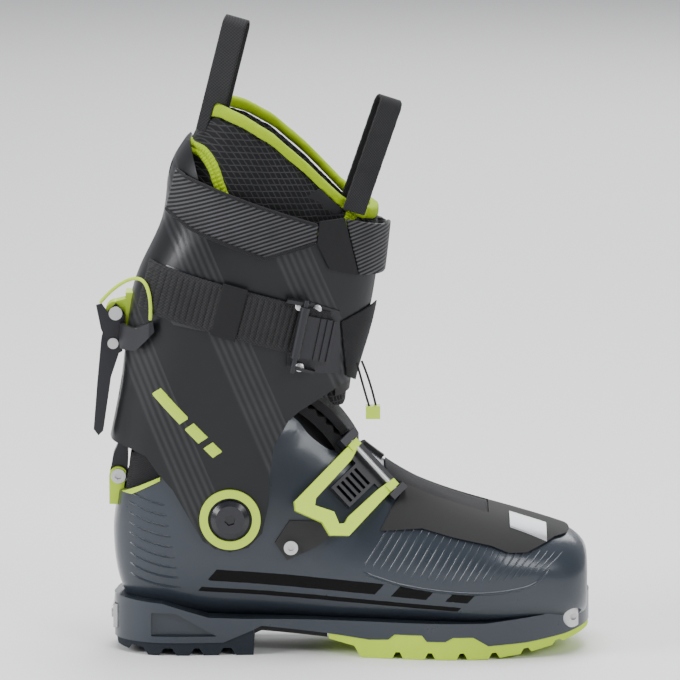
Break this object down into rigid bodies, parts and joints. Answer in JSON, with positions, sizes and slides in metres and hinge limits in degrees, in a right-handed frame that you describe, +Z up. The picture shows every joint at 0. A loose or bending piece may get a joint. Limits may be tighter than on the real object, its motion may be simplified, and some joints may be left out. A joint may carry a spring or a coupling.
{
  "type": "ski touring boot",
  "caption": "Right-foot ski touring boot with a hinged cuff, inner boot, walk lever, instep ratchet buckle, strap closure and a lugged rocker sole.",
  "frame": {"origin": "on the ground, under the middle of the boot's bounding box", "axes": "+X towards the toe, +Y towards the inner side of the foot, +Z up; the buckles are on the -Y side"},
  "size_m": [0.3105, 0.1123, 0.4016],
  "materials": {
    "shell": "dark slate blue moulded plastic with a satin sheen",
    "sole_rubber": "dark blue-grey moulded rubber",
    "black_rubber": "matt black rubber",
    "lime_rubber": "lime moulded rubber",
    "black_plastic": "matt black moulded plastic",
    "gloss_black": "gloss black moulded plastic",
    "liner_black": "black woven and printed inner boot fabric",
    "liner_grey": "grey felt footbed",
    "steel": "plain steel",
    "cuff": "charcoal moulded plastic with a satin sheen",
    "lime_fabric": "lime edge binding",
    "webbing": "black woven webbing",
    "strap_fabric": "dark striped strap fabric",
    "lime_metal": "lime anodised metal",
    "lime_plastic": "lime plastic",
    "black_metal": "black anodised metal",
    "badge_silver": "plain silver-grey badge",
    "lime_cord": "lime braided cord",
    "cord_black": "black thin cord"
  },
  "bodies": {
    "lower_boot": {"lower_shell": "shell", "heel_sole": "sole_rubber", "arch_pad": "black_rubber", "toe_sole": "lime_rubber", "boot_board": "black_plastic", "liner_foot": "liner_black", "footbed": "liner_grey", "toe_insert_outer": "steel", "toe_insert_inner": "steel", "heel_insert": "steel", "heel_insert_screw": "steel", "lean_lock_anchor": "lime_metal", "anchor_screw": "steel", "pivot_bolts": "gloss_black", "throat_gaiter": "liner_black", "instep_shield": "black_rubber", "instep_fabric": "liner_black", "toe_badge": "badge_silver", "instep_base_plate": "black_metal", "instep_base_screw": "steel", "ratchet_housing": "black_plastic", "ratchet_plate": "black_metal", "ladder_strap": "black_plastic", "ladder_anchor": "black_plastic"},
    "cuff": {"cuff_shell": "cuff", "shin_plate": "black_plastic", "liner_cuff": "liner_black", "liner_tongue": "liner_black", "rim_binding": "lime_fabric", "tongue_binding": "lime_fabric", "rear_pull_loop": "webbing", "front_pull_loop": "webbing", "strap_guide": "gloss_black", "strap_webbing": "webbing", "strap_keeper": "webbing", "strap_buckle_frame": "black_plastic", "power_strap": "strap_fabric", "power_strap_tab": "black_rubber", "power_strap_front": "strap_fabric", "front_flap": "black_rubber", "spine_bracket": "black_plastic", "lever_rivet": "steel", "pivot_rings": "lime_plastic", "pull_cord_1": "cord_black", "pull_cord_2": "cord_black", "cord_toggle": "black_rubber", "tension_cord": "lime_cord"},
    "strap_latch": {"strap_latch": "gloss_black"},
    "lock_lever": {"lock_lever": "black_plastic", "lever_yoke": "gloss_black", "yoke_rivet": "steel"},
    "lean_bar": {"lean_lock_bar": "black_metal"},
    "instep_lever": {"instep_lever": "lime_metal", "instep_lever_pin": "steel"}
  },
  "joints": [
    {"name": "cuff_pivot", "type": "hinge", "parent": "lower_boot", "child": "cuff", "pos_m": [-0.0694, 0, 0.088], "axis": [0, 1, 0], "range_deg": [-15, 15]},
    {"name": "lean_bar_pivot", "type": "hinge", "parent": "lower_boot", "child": "lean_bar", "pos_m": [-0.1397, 0, 0.1095], "axis": [0, 1, 0], "range_deg": [-18, 18]},
    {"name": "walk_lever_pivot", "type": "hinge", "parent": "cuff", "child": "lock_lever", "pos_m": [-0.1408, 0, 0.213], "axis": [0, 1, 0], "range_deg": [0, 100], "deforming": ["tension_cord"]},
    {"name": "strap_latch_pivot", "type": "hinge", "parent": "cuff", "child": "strap_latch", "pos_m": [-0.026, -0.0532, 0.2055], "axis": [0.2014, -0.0705, 0.977], "range_deg": [-80, 0]},
    {"name": "instep_lever_pivot", "type": "hinge", "parent": "lower_boot", "child": "instep_lever", "pos_m": [0.02404, -0.03092, 0.11561], "axis": [0.676, -0.055, -0.7349], "range_deg": [-95, 0]}
  ],
  "couplings": [
    {"joint": "lean_bar_pivot", "follows": "cuff_pivot", "ratio": 1.2}
  ]
}
